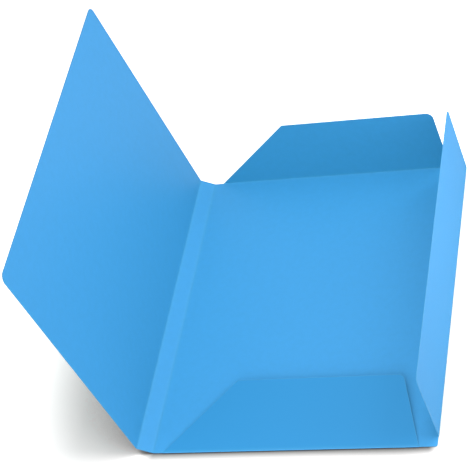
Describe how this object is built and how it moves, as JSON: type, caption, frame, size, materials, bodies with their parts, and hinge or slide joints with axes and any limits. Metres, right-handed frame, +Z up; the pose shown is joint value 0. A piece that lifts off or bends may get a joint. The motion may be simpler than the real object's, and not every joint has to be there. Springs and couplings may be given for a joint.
{
  "type": "document folder",
  "caption": "Three-flap document folder of plain card, lying open with its cover, top flap and side flap raised.",
  "frame": {"origin": "middle of the back panel's underside, where the open folder rests", "axes": "+Z up, +X from the spine to the side flap, +Y along the spine from the bottom flap to the top flap"},
  "size_m": [0.3002, 0.321, 0.2412],
  "materials": {
    "card": "matte dyed card with a fine even grain",
    "crease": "matte card, compressed along the score"
  },
  "bodies": {
    "back": {"back_panel": "card", "spine_back_crease": "crease", "top_flap_crease": "crease", "bottom_flap_crease": "crease", "side_flap_crease": "crease"},
    "spine": {"spine_strip": "card", "spine_cover_crease": "crease"},
    "cover": {"front_cover": "card"},
    "top": {"top_flap": "card"},
    "bottom": {"bottom_flap": "card"},
    "side": {"side_flap": "card"}
  },
  "joints": [
    {"name": "spine_fold", "type": "hinge", "parent": "back", "child": "spine", "pos_m": [-0.1255, 0, 0.0006], "axis": [0, 1, 0], "range_deg": [-28.5, 61.5]},
    {"name": "cover_fold", "type": "hinge", "parent": "spine", "child": "cover", "pos_m": [-0.13868, 0, 0.00776], "axis": [0, 1, 0], "range_deg": [-53, 37]},
    {"name": "top_flap_fold", "type": "hinge", "parent": "back", "child": "top", "pos_m": [0, 0.16, 0.0006], "axis": [1, 0, 0], "range_deg": [-90, 89.2]},
    {"name": "bottom_flap_fold", "type": "hinge", "parent": "back", "child": "bottom", "pos_m": [0, -0.16, 0.0006], "axis": [-1, 0, 0], "range_deg": [-176, 3.2]},
    {"name": "side_flap_fold", "type": "hinge", "parent": "back", "child": "side", "pos_m": [0.1255, 0, 0.0006], "axis": [0, -1, 0], "range_deg": [-93, 77.5]}
  ]
}
